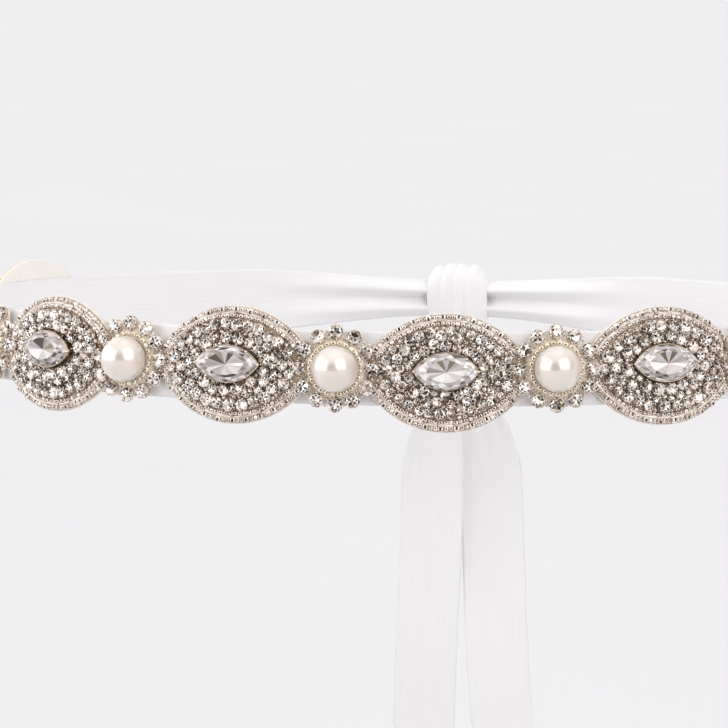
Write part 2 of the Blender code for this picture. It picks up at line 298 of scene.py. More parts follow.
def make_stone_shape():
    """The stone, and for each facet 1 where its painted reflection tends to be bright, -1 where dark, 0 where
    hidden.
    """
    points = []
    for row, (radius, height) in enumerate(STONE_ROWS):
        for side in range(STONE_SIDES):
            angle = 2 * math.pi * (side + 0.5 * (row % 2)) / STONE_SIDES
            points.append((radius * math.cos(angle), radius * math.sin(angle), height))
    faces, kinds = [], []
    for row in range(len(STONE_ROWS) - 1):
        low, high = row * STONE_SIDES, (row + 1) * STONE_SIDES
        for side in range(STONE_SIDES):
            after = (side + 1) % STONE_SIDES
            if row % 2 == 0:
                faces.append((low + side, low + after, high + side))
                faces.append((low + after, high + after, high + side))
            else:
                faces.append((low + side, low + after, high + after))
                faces.append((low + side, high + after, high + side))
            kinds += [0, 0] if row == 0 else [1, -1]
    rim = (len(STONE_ROWS) - 1) * STONE_SIDES
    for side in range(STONE_SIDES):
        faces.append((rim + side, rim + (side + 1) % STONE_SIDES, len(points)))
        faces.append(((side + 1) % STONE_SIDES, side, len(points) + 1))
        kinds += [1 if side % 2 else -1, 0]
    points += [(0.0, 0.0, 0.36), (0.0, 0.0, -0.60)]
    return Shape(points, faces), np.array(kinds)


STONE, FACET_KINDS = make_stone_shape()
CUP = turned([(0.55, -0.62), (0.96, -0.52), (1.03, -0.16), (1.00, -0.08), (0.94, -0.10),
              (0.60, -0.40)], 10)


def bead_tones(number, low, high, dot_share=0.85, big=None):
    """Tones for beads, most of them with a dark dot on the outward side, wider on the big ones."""
    tones = np.repeat(rng.uniform(low, high, (number, 1)), len(SEED_BEAD.sizes), axis=1)
    dots = rng.uniform(0.0, 0.12, number)
    dotted = rng.random(number) < dot_share
    beside = BEAD_DOT_FACE + rng.choice((-1, 1), number)
    # The dark dot is partly the hole seen through the glass and partly a painted reflection of the dark room
    # ahead
    tones[dotted, BEAD_DOT_FACE] = dots[dotted]
    if big is not None:
        tones[big, beside[big]] = dots[big]
        tones[big, BEAD_DOT_FACE] = dots[big]
    return tones


def facet_tones(turns, swings=(0.10, 0.36), leans=(0.05, 0.35)):
    """Tones for stones turned by the given angles, painted reflections and painted light. Bright and dark
    facets alternate round each stone, some out of turn, and one side has painted light through the stone,
    mostly the lower and in some stones strongly. The ranges say how strongly they alternate and how
    strongly they are lit from one side."""
    number = len(turns)
    starts = np.concatenate(([0], np.cumsum(STONE.sizes)[:-1]))
    middles = np.array([STONE.points[STONE.loops[start:start + size]].mean(axis=0)
                        for start, size in zip(starts, STONE.sizes)])
    bright_side = rng.normal(math.radians(-100), math.radians(55), number) - turns
    lit = np.outer(np.cos(bright_side), middles[:, 0]) + np.outer(np.sin(bright_side), middles[:, 1])
    swing = rng.uniform(*swings, (number, 1)) * FACET_KINDS
    spread = rng.normal(0, 0.22, (number, len(STONE.sizes)))
    lean = rng.uniform(*leans, (number, 1)) + STRONG_LEAN * (rng.random((number, 1)) < STRONG_SHARE)
    return np.clip(FACET_MEAN + swing + spread + lean * lit + rng.normal(0, 0.08, (number, 1)), 0, 1)


# Outlines of the motifs

def lens_reach(angle, half_length, half_height, inset=0.0):
    radius = (half_length ** 2 + half_height ** 2) / (2 * half_height)
    sink = radius - half_height
    drop = sink * np.abs(np.sin(angle))
    return np.sqrt(drop ** 2 + (radius - inset) ** 2 - sink ** 2) - drop


def oval_angles(count, squash, phase=0.0):
    turns = 2 * np.pi * (np.arange(count) + phase) / count
    return np.arctan2(squash * np.sin(turns), np.cos(turns))


def motif_centre(place_number):
    along, up, _, _ = SEWN_OFF.get(place_number, (0.0, 0.0, 0.0, 0.0))
    return place_number * PITCH + along, up


def middle_centre(place_number):
    _, _, along, up = SEWN_OFF.get(place_number, (0.0, 0.0, 0.0, 0.0))
    return place_number * PITCH + along, up


def flowers_beside(place_number):
    """Middles of the flowers that sit on a medallion's ends, from the medallion's own middle."""
    s, z = motif_centre(place_number)
    beside = [motif_centre(place_number + step) for step in (-1, 1) if place_number + step in FLOWER_PLACES]
    return [(flower_s - s, flower_z - z) for flower_s, flower_z in beside]


def medallion_reach(angles, inset, flowers):
    """The edge of the medallion's net, which runs a little way under the flowers at its ends."""
    reach = lens_reach(angles, OVAL_HALF_LENGTH, OVAL_HALF_HEIGHT, inset)
    hole = FLOWER_REACH - NET_TUCK + CUT_SHARE * inset
    for along, up in flowers:
        ahead = along * np.cos(angles) + up * np.sin(angles)
        aside = along * np.sin(angles) - up * np.cos(angles)
        bite = ahead - np.sqrt(np.maximum(hole ** 2 - aside ** 2, 0))
        reach = np.where((ahead > 0) & (np.abs(aside) < hole), np.minimum(reach, bite), reach)
    return reach


def oval_rows(inset, flowers, clear):
    """The upper and lower rows at an inset from the medallion's edge, as fine lines of (along, up)
    points that stop clear of the flowers' middles."""
    radius = (OVAL_HALF_LENGTH ** 2 + OVAL_HALF_HEIGHT ** 2) / (2 * OVAL_HALF_HEIGHT)
    sink = radius - OVAL_HALF_HEIGHT
    end = math.acos(sink / (radius - inset))
    turns = np.linspace(-end, end, 1200)
    along, up = (radius - inset) * np.sin(turns), (radius - inset) * np.cos(turns) - sink
    rows = []
    for sign in (1, -1):
        keep = np.ones(len(turns), bool)
        for flower_along, flower_up in flowers:
            keep &= np.hypot(along - flower_along, sign * up - flower_up) > clear
        rows.append(np.stack([along[keep], sign * up[keep]], axis=1))
    return rows


def lens_distance(points, half_length, half_height):
    """How far points lie outside a pointed oval, less than 0 within it."""
    radius = (half_length ** 2 + half_height ** 2) / (2 * half_height)
    sink = radius - half_height
    return np.max([np.hypot(points[:, 0], points[:, 1] + side * sink) for side in (1, -1)], axis=0) - radius


def spaced(line, pitches):
    """Places along a line at the given pitches in turn, evened out to fill it, with each place's
    direction and the number of its pitch."""
    runs = np.concatenate(([0.0], np.cumsum(np.hypot(*np.diff(line, axis=0).T))))
    total = runs[-1]
    number = max(1, round(total / sum(pitches) * len(pitches)))
    steps = np.array([pitches[index % len(pitches)] for index in range(number)])
    steps *= total / steps.sum()
    middles = np.cumsum(steps) - steps / 2

    def at(where):
        return np.interp(where, runs, line[:, 0]), np.interp(where, runs, line[:, 1])

    along, up = at(middles)
    (back_along, back_up), (ahead_along, ahead_up) = at(middles - 0.2 * MM), at(middles + 0.2 * MM)
    heading = np.arctan2(ahead_up - back_up, ahead_along - back_along)
    return along, up, heading, np.arange(number) % len(pitches), steps


# Materials

def material_of(name, colour=None, roughness=0.5, **values):
    """A Principled material; values sets its other inputs, with underscores for spaces."""
    material = bpy.data.materials.new(name)
    material.use_nodes = True
    shader = material.node_tree.nodes["Principled BSDF"]
    if colour:
        shader.inputs["Base Color"].default_value = (*colour, 1)
    shader.inputs["Roughness"].default_value = roughness
    for key, value in values.items():
        shader.inputs[key.replace("_", " ")].default_value = value
    return material, material.node_tree, shader


def add_node(tree, kind, **settings):
    node = tree.nodes.new(kind)
    for key, value in settings.items():
        if key in node.inputs:
            node.inputs[key].default_value = value
        else:
            setattr(node, key, value)
    return node


def add_ramp(tree, source, stops, interpolation="LINEAR"):
    ramp = tree.nodes.new("ShaderNodeValToRGB")
    ramp.color_ramp.interpolation = interpolation
    elements = ramp.color_ramp.elements
    while len(elements) < len(stops):
        elements.new(0.5)
    for element, (position, colour) in zip(elements, stops):
        element.position = position
        element.color = (*colour, 1)
    tree.links.new(source, ramp.inputs["Fac"])
    return ramp.outputs["Color"]


def add_bump(tree, shader, height, strength, distance):
    bump = add_node(tree, "ShaderNodeBump", Strength=strength, Distance=distance)
    tree.links.new(height, bump.inputs["Height"])
    tree.links.new(bump.outputs["Normal"], shader.inputs["Normal"])
    return bump


def noise(tree, scale, detail=2.0, vector=None):
    node = add_node(tree, "ShaderNodeTexNoise", Scale=scale, Detail=detail)
    if vector is None:
        vector = tree.nodes.new("ShaderNodeTexCoord").outputs["Object"]
    tree.links.new(vector, node.inputs["Vector"])
    return node.outputs["Fac"]


def toned_material(name, stops, roughness, interpolation="LINEAR", **values):
    """A material whose colour follows each face's tone, with a little grime and unevenness."""
    material, tree, shader = material_of(name, roughness=roughness, **values)
    tone = add_node(tree, "ShaderNodeAttribute", attribute_name="tone")
    colour = add_ramp(tree, tone.outputs["Fac"], stops, interpolation)
    mix = add_node(tree, "ShaderNodeMix", data_type="RGBA", blend_type="MULTIPLY")
    mix.inputs["Factor"].default_value = 1.0
    shade = add_ramp(tree, noise(tree, 900, 3.0), ((0.3, (0.86, 0.84, 0.82)), (0.62, (1, 1, 1))))
    tree.links.new(colour, mix.inputs["A"])
    tree.links.new(shade, mix.inputs["B"])
    tree.links.new(mix.outputs["Result"], shader.inputs["Base Color"])
    add_bump(tree, shader, noise(tree, 2600, 2.0), 0.08, 0.05 * MM)
    return material


def make_satin():
    """White satin: long fine floats along the ribbon, finer ribs across it, and a soft sheen."""
    material, tree, shader = material_of("satin_white", roughness=0.36, Specular_IOR_Level=0.45,
                                         Sheen_Weight=0.25, Sheen_Roughness=0.4)
    place_on = add_node(tree, "ShaderNodeAttribute", attribute_name="cloth")
    stretch = add_node(tree, "ShaderNodeMapping")
    stretch.inputs["Scale"].default_value = (60, 6500, 1)
    tree.links.new(place_on.outputs["Vector"], stretch.inputs["Vector"])
    floats = noise(tree, 1.0, 3.0, stretch.outputs["Vector"])
    tint = add_ramp(tree, floats, ((0.3, (0.75, 0.740, 0.752)), (0.7, (0.81, 0.801, 0.814))))
    tree.links.new(tint, shader.inputs["Base Color"])
    weft = add_node(tree, "ShaderNodeMapping")
    weft.inputs["Scale"].default_value = (3600, 900, 1)
    tree.links.new(place_on.outputs["Vector"], weft.inputs["Vector"])
    ribs = noise(tree, 1.0, 1.0, weft.outputs["Vector"])
    both = add_node(tree, "ShaderNodeMath", operation="ADD")
    tree.links.new(floats, both.inputs[0])
    tree.links.new(ribs, both.inputs[1])
    add_bump(tree, shader, both.outputs["Value"], 0.35, 0.06 * MM)
    return material


def make_net():
    """Net over felt behind the beads: tan where it shows in the gaps, with glue and threads."""
    material, tree, shader = material_of("net_and_felt", roughness=0.5, Specular_IOR_Level=0.3,
                                         Coat_Weight=0.1, Coat_Roughness=0.3)
    tone = add_node(tree, "ShaderNodeAttribute", attribute_name="tone")
    # From dark brown through tan and cream to the pale felt underneath; the dark end is partly painted shade
    # where the net lies between and under the stones
    shade = add_ramp(tree, tone.outputs["Fac"], ((0.0, (0.26, 0.18, 0.11)), (0.5, (0.62, 0.47, 0.35)),
                                                 (0.85, (0.98, 0.90, 0.78)), (1.0, (0.84, 0.82, 0.80))))
    cells = add_node(tree, "ShaderNodeTexVoronoi", feature="DISTANCE_TO_EDGE", Scale=1500.0)
    tree.links.new(tree.nodes.new("ShaderNodeTexCoord").outputs["Object"], cells.inputs["Vector"])
    threads = add_ramp(tree, cells.outputs["Distance"], ((0.02, (1, 1, 1)), (0.12, (0.90, 0.88, 0.86))))
    mix = add_node(tree, "ShaderNodeMix", data_type="RGBA", blend_type="MULTIPLY")
    mix.inputs["Factor"].default_value = 1.0
    tree.links.new(shade, mix.inputs["A"])
    tree.links.new(threads, mix.inputs["B"])
    tree.links.new(mix.outputs["Result"], shader.inputs["Base Color"])
    add_bump(tree, shader, cells.outputs["Distance"], 0.4, 0.1 * MM)
    return material


def make_pearl_coat():
    """Ivory pearl coat: warm white below a clear gloss, with a faint cloudiness."""
    material, tree, shader = material_of("pearl_coat", roughness=0.26, Metallic=0.36,
                                         Coat_Weight=1.0, Coat_Roughness=0.15, Coat_IOR=1.8,
                                         Sheen_Weight=1.0, Sheen_Roughness=0.38)
    tint = add_ramp(tree, noise(tree, 160, 2.0), ((0.35, (0.75, 0.675, 0.61)), (0.65, (0.80, 0.735, 0.68))))
    tree.links.new(tint, shader.inputs["Base Color"])
    add_bump(tree, shader, noise(tree, 700, 2.0), 0.02, 0.1 * MM)
    return material


SATIN = make_satin()
NET = make_net()
PEARL = make_pearl_coat()
# Silver-lined beads: the near-black tones are the dark dots, partly a painted reflection
BEADS = toned_material("silver_lined_beads", (
    (0.00, (0.012, 0.008, 0.006)), (0.12, (0.05, 0.035, 0.025)), (0.22, (0.60, 0.50, 0.43)),
    (0.60, (0.82, 0.74, 0.67)), (1.0, (0.96, 0.92, 0.88))), 0.22,
    Metallic=0.6, Coat_Weight=0.7, Coat_Roughness=0.08)
# Cream beads: the near-black tones are the dark dots, partly a painted reflection
CREAM_BEADS = toned_material("cream_beads", (
    (0.00, (0.05, 0.03, 0.015)), (0.12, (0.22, 0.16, 0.10)), (0.25, (0.76, 0.64, 0.47)),
    (1.0, (0.98, 0.90, 0.75))), 0.22, Metallic=0.3, Coat_Weight=0.8, Coat_Roughness=0.08)
GLASS_TUBES = toned_material("glass_tubes", ((0.0, (0.60, 0.52, 0.45)), (1.0, (0.86, 0.79, 0.73))), 0.38,
                             Metallic=0.3, Coat_Weight=0.4, Coat_Roughness=0.2)
SILVER = toned_material("silver_plate", ((0.0, (0.36, 0.27, 0.20)), (0.5, (0.76, 0.64, 0.53)),
                                         (1.0, (0.97, 0.90, 0.81))), 0.16, Metallic=1.0)
# Foiled stones: the colour follows each facet's tone, painted reflections from near black to white
STONE_GLASS = toned_material("foiled_stones", (
    (0.00, (0.015, 0.010, 0.007)), (0.20, (0.065, 0.045, 0.030)), (0.36, (0.31, 0.235, 0.18)),
    (0.54, (0.57, 0.47, 0.40)), (0.68, (0.96, 0.90, 0.84)), (1.0, (1.0, 0.98, 0.95))), 0.09,
    Metallic=0.5, Coat_Weight=1.0, Coat_Roughness=0.03)
# Crystal facets: the colour follows each facet's tone, painted reflections
CRYSTAL_GLASS = toned_material("crystal_facets", (
    (0.00, (0.05, 0.036, 0.024)), (0.15, (0.26, 0.21, 0.155)), (0.35, (0.40, 0.36, 0.36)),
    (0.65, (0.58, 0.54, 0.55)), (0.85, (0.84, 0.83, 0.84)), (1.0, (1.0, 1.0, 1.0))), 0.06,
    Metallic=0.12, Coat_Weight=0.8, Coat_Roughness=0.02)


# The medallions

ROWS = (
    # name, inset from the edge, height of its middle, pitches in turn
    ("cord", 0.30 * MM, 1.15 * MM, (0.62 * MM,)),
    ("outer", 1.07 * MM, 1.70 * MM, (1.60 * MM, 1.20 * MM, 1.20 * MM)),
    ("tubes", 1.95 * MM, 1.70 * MM, (4.0 * MM,)),
    ("inner", 2.76 * MM, 1.90 * MM, (1.30 * MM,)),
)
# The tone falls from the edge towards the field: partly the net's own darker colour, partly painted shade
# between the stones
MEDALLION_BASE = (
    # inset, height, tone
    (0.15 * MM, 0.30 * MM, 0.85),
    (0.00 * MM, 0.60 * MM, 0.80),
    (0.10 * MM, 1.00 * MM, 0.80),
    (0.55 * MM, 1.20 * MM, 0.78),
    (3.20 * MM, 1.30 * MM, 0.72),
    (3.60 * MM, 1.75 * MM, 0.62),
)
FIELD_HEIGHT = 1.8 * MM
SEAT_HEIGHT = 2.05 * MM
FIELD_INSET = 3.40 * MM
BASE_POINTS = 144
BIG_BEAD = 0.80 * MM
SMALL_BEAD = 0.60 * MM
INNER_BEAD = 0.62 * MM
TUBE_RADIUS = 0.47 * MM


def make_medallion_base(number, place_number):
    s, z = motif_centre(place_number)
    middle_s, middle_z = middle_centre(place_number)
    flowers = flowers_beside(place_number)
    angles = oval_angles(BASE_POINTS, OVAL_SQUASH)
    rings, tones = [], []
    for inset, height, tone in MEDALLION_BASE:
        reach = medallion_reach(angles, inset, flowers)
        rings.append((s + reach * np.cos(angles), z + reach * np.sin(angles), height))
        tones.append(tone)
    reach = crystal_reach(place_number, angles, CRYSTAL_CLEARANCE)
    seat_ring = (middle_s + reach * np.cos(angles), middle_z + reach * np.sin(angles), SEAT_HEIGHT)
    last = rings[-1]
    rings += [((last[0] + seat_ring[0]) / 2, (last[1] + seat_ring[1]) / 2, FIELD_HEIGHT), seat_ring]
    # Darker still in the field and at the crystal's seat: partly the net's colour, partly painted shade under
    # the stones and the crystal
    tones += [0.42, 0.25]
    points = [place(*ring) for ring in rings]
    faces = grid_faces(len(rings), BASE_POINTS, closed=True)
    shades = [tone for tone in tones[1:] for _ in range(BASE_POINTS)]
    # The underside is pale felt; the strip under the crystal is dark, painted shade
    for first, flip in ((0, True), ((len(rings) - 1) * BASE_POINTS, False)):
        for face in strip_faces(first, BASE_POINTS):
            faces.append(face[::-1] if flip else face)
            shades.append(1.0 if flip else 0.30)
    loops = [corner for face in faces for corner in face]
    base = build_mesh(f"medallion_{number}_base", np.concatenate(points), loops,
                      [len(face) for face in faces], NET, True, shades)
    return seat(base, "beadwork", f"medallion_{number}")


def strip_faces(first, count):
    """Faces that fill a ring whose points mirror each other above and below, in strips across it."""
    faces = [(first, first + 1, first + count - 1)]
    for index in range(1, count // 2 - 1):
        faces.append((first + index, first + index + 1,
                      first + count - index - 1, first + count - index))
    middle = first + count // 2
    faces.append((middle - 1, middle, middle + 1))
    return faces


def dress_rows(place_number, beads, tubes, cord):
    """Rows of beads and glass tubes along the medallion's upper and lower edges."""
    s, z = motif_centre(place_number)
    flowers = flowers_beside(place_number)
    for kind, inset, height, pitches in ROWS:
        for line in oval_rows(inset, flowers, FLOWER_REACH - 0.3 * MM):
            along, up, heading, turn_of, steps = spaced(line, pitches)
            number = len(along)
            wander = rng.normal(0, 0.05 * MM, (3, number))
            heights = height + wander[2] * 0.6
            if kind == "cord":
                where = place(s + along, z + up, height)
                cord.add(STITCH, where, axes_at(s + along, heading + 0.5),
                         np.array([0.47, 0.21, 0.27]) * MM, rng.uniform(0.6, 1.0, number))
                continue
            axes = axes_at(s + along, heading + rng.normal(0, 0.07, number),
                           rng.normal(0, 0.1, number), rng.normal(0, 0.1, number))
            if kind == "tubes":
                radius = np.full(number, TUBE_RADIUS)
            elif kind == "inner":
                radius = INNER_BEAD * rng.uniform(0.93, 1.06, number)
            else:
                radius = np.where(turn_of == 0, BIG_BEAD, SMALL_BEAD) * rng.uniform(0.95, 1.05, number)
                heights = heights + np.where(turn_of == 0, 0.2 * MM, 0.0)
            where = place(s + along + wander[0], z + up + wander[1], heights)
            size = np.stack([steps * (0.505 if kind == "tubes" else 0.49), radius, radius], axis=1)
            if kind == "tubes":
                tubes.add(BUGLE, where, axes, size, rng.uniform(0.25, 0.95, number))
            else:
                big = np.flatnonzero(radius > 0.72 * MM)
                beads.add(SEED_BEAD, where, axes, size, bead_tones(number, 0.25, 0.95, 0.8, big))


def set_stones(s, along, up, height, radius, stones, cups, prongs=4, **tones):
    """Round stones in claw cups, each turned and tilted a little as sewn by hand."""
    number = len(along)
    turns = rng.uniform(0, 2 * math.pi, number)
    axes = axes_at(s + along, turns, rng.normal(0, 0.10, number), rng.normal(0, 0.10, number))
    where = place(s + along, up, height)
    radius = np.broadcast_to(radius, number)
    stones.add(STONE, where, axes, radius, facet_tones(turns, **tones))
    cups.add(CUP, where, axes, radius, rng.uniform(0.1, 0.7, number))
    for prong in range(prongs):
        angle = 2 * math.pi * (prong + 0.5) / prongs
        reach = np.array([math.cos(angle), math.sin(angle), 0.16]) * 0.94
        middle = where + np.einsum("j,njw->nw", reach, axes) * radius[:, None]
        cups.add(GRAIN, middle, axes, radius[:, None] * np.array([0.15, 0.15, 0.18]),
                 rng.uniform(0.5, 1.0, number))


# How a medallion's field is filled: rings of stones round the crystal and along the rows, then the
# largest stone that still fits, again and again, down to single beads
RING_STONE = 1.68 * MM
RING_STONES = {-3: 1.75 * MM, -1: 1.72 * MM, 1: 1.52 * MM, 3: 1.84 * MM}
RING_PITCH = 1.84
FIELD_STEP = 0.16 * MM
FILL_SIZES = (1.60 * MM, 1.40 * MM, 1.20 * MM, 1.00 * MM, 0.80 * MM, 0.62 * MM, 0.50 * MM, 0.42 * MM)
SMALLEST_STONE = 1.0 * MM
SQUEEZE = 0.78
RING_SQUEEZE = 0.80


def field_clearance(points, flowers, crystal, halves):
    """The room that points have from the rows, the flowers and the crystal."""
    room = [-lens_distance(points, OVAL_HALF_LENGTH, OVAL_HALF_HEIGHT) - FIELD_INSET,
            lens_distance(points - crystal, *halves) - 0.15 * MM]
    room += [np.hypot(*(points - flower).T) - FLOWER_REACH + 0.2 * MM for flower in flowers]
    return np.min(room, axis=0)


def fill_field(place_number):
    """Middles and radii of a medallion's stones, from its own middle."""
    s, z = motif_centre(place_number)
    middle_s, middle_z = middle_centre(place_number)
    flowers = flowers_beside(place_number)
    crystal = np.array([middle_s - s, middle_z - z])
    halves = crystal_halves(place_number)
    size = RING_STONES.get(place_number, RING_STONE)
    grow = size + 0.15 * MM
    turns = np.linspace(0, 2 * math.pi, 721)
    angles = np.arctan2(OVAL_SQUASH * np.sin(turns), np.cos(turns))
    loops = []
    inner = crystal_reach(place_number, angles, grow)
    loops.append(crystal + np.stack([inner * np.cos(angles), inner * np.sin(angles)], axis=1))
    loops += oval_rows(FIELD_INSET + size - 0.2 * MM, flowers, FLOWER_REACH + size - 0.4 * MM)
    spots = []
    for loop in loops:
        along, up, *_ = spaced(loop, (RING_PITCH * size,))
        spots.append(np.stack([along, up], axis=1))
    chosen, radii = [], []
    for spot in np.concatenate(spots):
        radius = size * rng.uniform(0.90, 1.10)
        spot = spot + rng.normal(0, 0.13 * MM, 2)
        room = field_clearance(spot[None], flowers, crystal, halves)[0]
        near = [math.dist(spot, other) - beside for other, beside in zip(chosen, radii)]
        if min([room, *near]) > RING_SQUEEZE * radius:
            chosen.append(spot)
            radii.append(radius)
    along = np.arange(-OVAL_HALF_LENGTH, OVAL_HALF_LENGTH, FIELD_STEP)
    up = np.arange(-OVAL_HALF_HEIGHT, OVAL_HALF_HEIGHT, FIELD_STEP)
    points = np.stack(np.meshgrid(along, up), axis=-1).reshape(-1, 2)
    room = field_clearance(points, flowers, crystal, halves)
    points, room = points[room > 0.4 * MM], room[room > 0.4 * MM]
    for spot, radius in zip(chosen, radii):
        room = np.minimum(room, np.hypot(*(points - spot).T) - radius)
    for size in FILL_SIZES:
        while True:
            fits = np.flatnonzero(room > SQUEEZE * size)
            if len(fits) == 0:
                break
            pick = fits[np.argmin(room[fits] + rng.uniform(0, 0.05 * MM, len(fits)))]
            chosen.append(points[pick])
            radii.append(size)
            room = np.minimum(room, np.hypot(*(points - points[pick]).T) - size)
    return np.array(chosen), np.array(radii)


def dress_field(place_number, beads, stones, cups):
    s, z = motif_centre(place_number)
    spots, radii = fill_field(place_number)
    large = radii >= SMALLEST_STONE
    along, up = spots[large].T
    set_stones(s, along, z + up, 2.75 * MM + 0.15 * radii[large], radii[large], stones, cups)
    along, up = spots[~large].T
    number = len(along)
    where = place(s + along, z + up, 2.35 * MM + rng.normal(0, 0.12 * MM, number))
    turns = rng.uniform(0, math.pi, number)
    axes = axes_at(s + along, turns, rng.normal(0, 0.3, number), rng.normal(0, 0.3, number))
    stone_like = radii[~large] > 0.75 * MM
    stones.add(STONE, where[stone_like], axes[stone_like], radii[~large][stone_like],
               facet_tones(turns[stone_like]))
    beads.add(SEED_BEAD, where[~stone_like], axes[~stone_like],
              radii[~large][~stone_like, None] * np.array([0.85, 1.0, 1.0]),
              bead_tones(int((~stone_like).sum()), 0.2, 0.9, 0.6))


def make_medallion(number, place_number):
    make_medallion_base(number, place_number)
    beads, tubes, cord, stones, cups = Pile(), Pile(), Pile(), Pile(), Pile()
    dress_rows(place_number, beads, tubes, cord)
    dress_field(place_number, beads, stones, cups)
    seat(beads.build(f"medallion_{number}_beads", BEADS), "beadwork")
    seat(tubes.build(f"medallion_{number}_tubes", GLASS_TUBES), "beadwork")
    seat(cord.build(f"medallion_{number}_cord", GLASS_TUBES), "beadwork")
    seat(stones.build(f"medallion_{number}_stones", STONE_GLASS, smooth=False), "rhinestone")
    seat(cups.build(f"medallion_{number}_cups", SILVER), "silver")


# The marquise crystals

CRYSTAL_POINTS = 20
CRYSTAL_SQUASH = 0.5
# The star's fan facets carry painted reflections: bright tones on the lower side, dim ones above, and some
# dark kites near the top
FAN_SPLIT = 0.25
BRIGHT_FAN = (0.45, 0.60, 0.80, 0.95, 1.0)
DIM_FAN = (0.32, 0.44, 0.52, 0.60, 0.70)
KITE_SHARE = 0.3
KITE_TONE = 0.14
STONE_SHARE_LONG = 0.965
STONE_SHARE_HIGH = 0.93
LONGER_STONES = {-3: 1.06, -1: 1.06, 3: 1.06}
CRYSTAL_ROWS = (
    # share of the outline, height, share of a step round
    (0.55, 2.5 * MM, 0.0),
    (1.00, 4.35 * MM, 0.0),
    (1.00, 4.65 * MM, 0.0),
    (0.89, 5.20 * MM, 0.5),
    (0.76, 5.68 * MM, 0.0),
    (0.62, 6.05 * MM, 0.5),
)
CROWN_ROWS = (2, 3, 4)
# Crown facet tones are painted reflections, with none of the darkest at the tips
CROWN_TONES = (0.08, 0.30, 0.48, 0.60, 0.75, 0.95)
CROWN_SHARES = (0.13, 0.16, 0.21, 0.23, 0.16, 0.11)
TIP_TONES = (0.30, 0.55, 0.70, 0.90)
TIP_FROM = 0.80
CRYSTAL_HEART = 5.55 * MM
# Painted shade: how much darker each crystal's tones are, as for a stone turned away from the light
CRYSTAL_SHADES = {-3: 0.27, -1: 0.12, 1: 0.04, 3: 0.09}
SETTING_ROWS = (
    # size beyond the stone's outline, height
    (0.06 * MM, 2.35 * MM),
    (0.22 * MM, 4.20 * MM),
    (0.17 * MM, 4.62 * MM),
    (0.04 * MM, 4.68 * MM),
    (-0.10 * MM, 4.20 * MM),
    (-0.50 * MM, 2.35 * MM),
)
SETTING_POINTS = 72
PRONG_TURNS = (0.0, 0.14, 0.36, 0.5, 0.64, 0.86)


def middle_frame(place_number):
    """The point and the directions, as rows, of a motif's rigid middle stone."""
    s, z = middle_centre(place_number)
    point, along, up, out = (v[0] for v in frames_at(s))
    return point + up * z, np.stack([along, up, out])


def crystal_halves(place_number):
    """Half the length and half the height of the crystal that is set at a place."""
    long_share = STONE_SHARE_LONG * LONGER_STONES.get(place_number, 1.0)
    return CRYSTAL_HALF_LENGTH * long_share, CRYSTAL_HALF_HEIGHT * STONE_SHARE_HIGH


def crystal_reach(place_number, angles, grow=0.0):
    half_length, half_height = crystal_halves(place_number)
    return lens_reach(angles, half_length + grow, half_height + grow)


def make_crystal(number, place_number):
    """A pointed crystal: a thin crown of small facets round a star that meets in its middle."""
    points = []
    for share, height, phase in CRYSTAL_ROWS:
        angles = oval_angles(CRYSTAL_POINTS, CRYSTAL_SQUASH, phase)
        reach = share * crystal_reach(place_number, angles)
        points += [(r * math.cos(a), r * math.sin(a), height) for r, a in zip(reach, angles)]
    faces = grid_faces(3, CRYSTAL_POINTS, closed=True)
    tones = [0.3] * len(faces)
    for row in CROWN_ROWS:
        low, high = row * CRYSTAL_POINTS, (row + 1) * CRYSTAL_POINTS
        for side in range(CRYSTAL_POINTS):
            after = (side + 1) % CRYSTAL_POINTS
            if row % 2 == 0:
                faces += [(low + side, low + after, high + side), (low + after, high + after, high + side)]
            else:
                faces += [(low + side, low + after, high + after), (low + side, high + after, high + side)]
            at_tip = abs(math.cos(2 * math.pi * (side + 0.5) / CRYSTAL_POINTS)) > TIP_FROM
            tones += list(rng.choice(TIP_TONES, 2) if at_tip else rng.choice(CROWN_TONES, 2, p=CROWN_SHARES))
    rim = (len(CRYSTAL_ROWS) - 1) * CRYSTAL_POINTS
    for side in range(CRYSTAL_POINTS):
        faces.append((rim + side, rim + (side + 1) % CRYSTAL_POINTS, len(points)))
        faces.append(((side + 1) % CRYSTAL_POINTS, side, len(points) + 1))
        # Painted reflections: fan facets on the lower side get bright tones, the others dim ones
        low_side = math.sin(2 * math.pi * (side + 1) / CRYSTAL_POINTS) < 0.1
        if side % 2 == 0 or rng.random() < FAN_SPLIT:
            fan_tone = rng.choice(BRIGHT_FAN if low_side else DIM_FAN)
        # Some upper fan facets near the middle are dark kites, painted reflections
        kite = abs(side - CRYSTAL_POINTS / 4) < 3 and rng.random() < KITE_SHARE
        tones += [KITE_TONE if kite else fan_tone, 0.3]
    points += [(0.1 * MM, -0.2 * MM, CRYSTAL_HEART), (0.0, 0.0, 2.5 * MM)]
    # Painted shade over the whole crystal
    tones = np.maximum(np.array(tones) - CRYSTAL_SHADES.get(place_number, 0.0), 0.0)
    point, axes = middle_frame(place_number)
    stone = build_mesh(f"crystal_{number}_stone", point + np.array(points) @ axes,
                       [corner for face in faces for corner in face],
                       [len(face) for face in faces], CRYSTAL_GLASS, False, tones)
    seat(stone, "crystal", f"crystal_{number}")
    make_setting(number, place_number)


